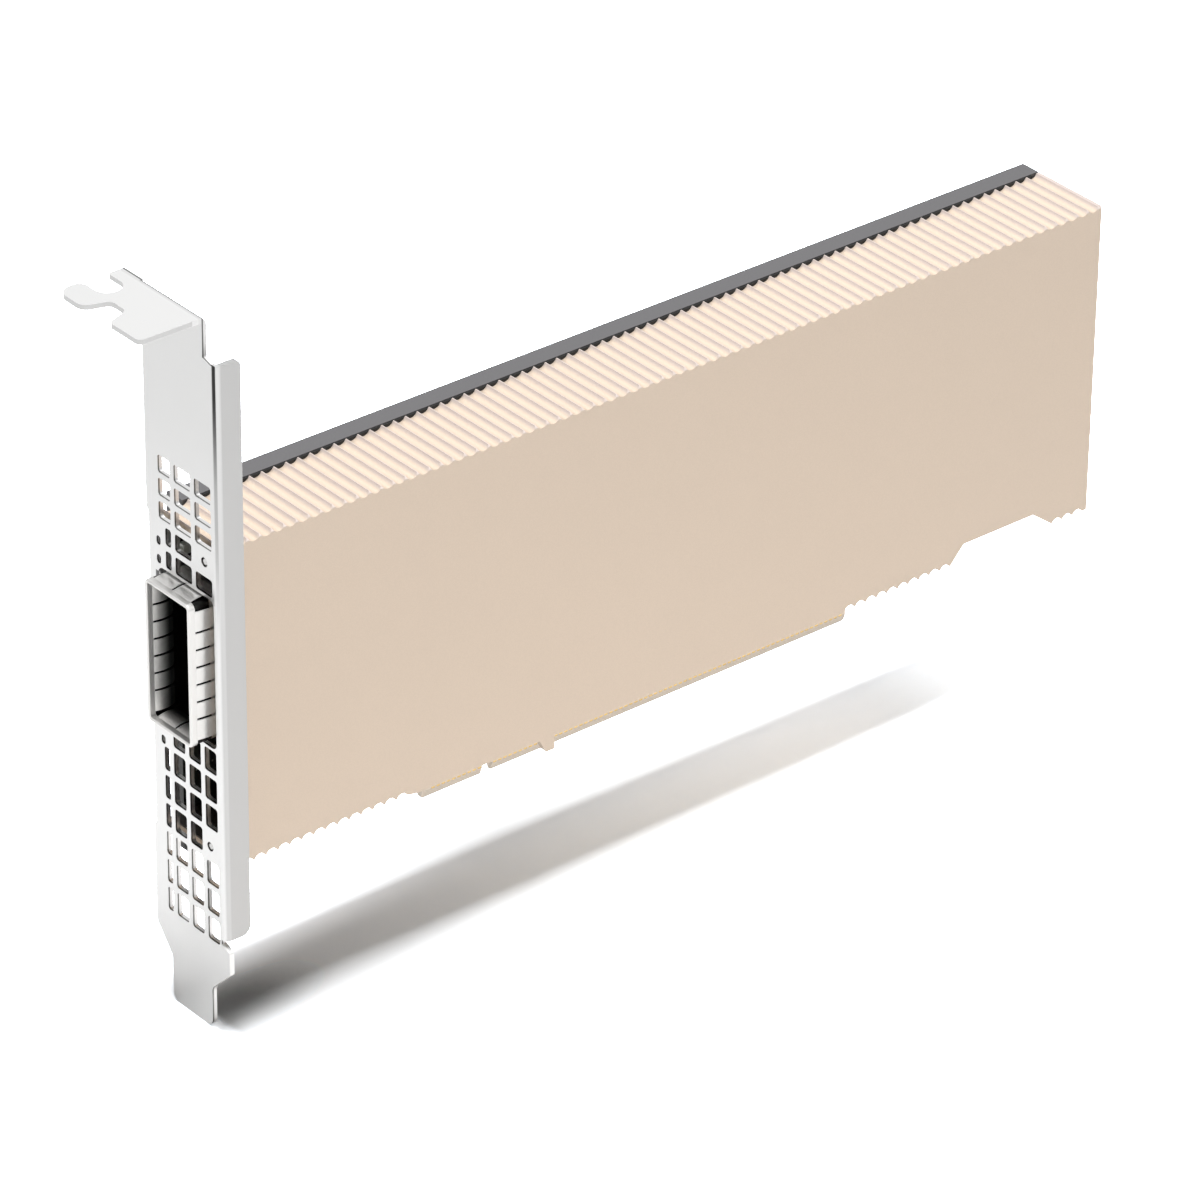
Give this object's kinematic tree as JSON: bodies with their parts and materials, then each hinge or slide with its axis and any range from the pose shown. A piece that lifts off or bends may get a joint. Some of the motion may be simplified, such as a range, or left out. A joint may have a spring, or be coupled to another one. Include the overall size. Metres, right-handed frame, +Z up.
{
  "type": "ethernet adapter card",
  "caption": "Ethernet adapter card with a ribbed metal heat-sink cover, a vented full-height slot bracket, a spring-fingered optical module cage and a notched contact edge.",
  "frame": {"origin": "middle of the key notch at the lower edge of the contact tongue, on the middle plane of the circuit board", "axes": "+X along the card away from the bracket, +Z up from the contact edge towards the bracket's tab, -Y out of the component side of the board"},
  "size_m": [0.1826, 0.0228, 0.12],
  "materials": {
    "circuit_board": "black solder mask over glass-fibre laminate, bare at its edges",
    "edge_contacts": "hard gold plate",
    "bracket": "bright nickel plate over steel sheet",
    "bracket_pins": "nickel plate",
    "screws": "nickel plate",
    "cage_shell": "bright nickel plate",
    "spring_collar": "bright nickel plate over spring sheet",
    "cage_connector": "black moulded plastic",
    "port_contacts": "gold plate",
    "thermal_pad": "soft grey pad",
    "heat_sink_cover": "fine blasted, matt plated",
    "finned_heat_sink": "bare extruded aluminium",
    "processor_substrate": "dark green laminate",
    "processor_die": "polished silicon",
    "processor_ring": "nickel plate over copper",
    "thermal_compound": "grey thermal compound",
    "power_chips": "black moulding compound",
    "inductors": "pressed metal powder",
    "polymer_capacitors": "moulded case",
    "ceramic_capacitors": "fired ceramic with tinned ends",
    "flash_chips": "black moulding compound",
    "clock_oscillator": "metal lid",
    "controller_chip": "black moulding compound",
    "indicator_lights": "clear resin",
    "back_plate": "grey anodised sheet",
    "insulating_film": "black film",
    "edge_gasket": "black foam strip"
  },
  "bodies": {
    "root": {"circuit_board": "circuit_board", "edge_contacts": "edge_contacts", "bracket": "bracket", "bracket_pins": "bracket_pins", "bracket_screws": "screws", "cage_shell": "cage_shell", "spring_collar": "spring_collar", "cage_connector": "cage_connector", "port_contacts": "port_contacts", "cage_thermal_pad": "thermal_pad", "heat_sink_cover": "heat_sink_cover", "cover_screws": "screws", "finned_heat_sink": "finned_heat_sink", "heat_sink_screws": "screws", "spring_washers": "screws", "processor_substrate": "processor_substrate", "processor_die": "processor_die", "processor_ring": "processor_ring", "thermal_compound": "thermal_compound", "power_chips": "power_chips", "power_chip_pads": "thermal_pad", "inductors": "inductors", "polymer_capacitors": "polymer_capacitors", "ceramic_capacitors": "ceramic_capacitors", "flash_chips": "flash_chips", "clock_oscillator": "clock_oscillator", "controller_chip": "controller_chip", "rear_capacitors": "ceramic_capacitors", "indicator_lights": "indicator_lights", "back_plate": "back_plate", "insulating_film": "insulating_film", "edge_gasket": "edge_gasket"}
  },
  "joints": []
}
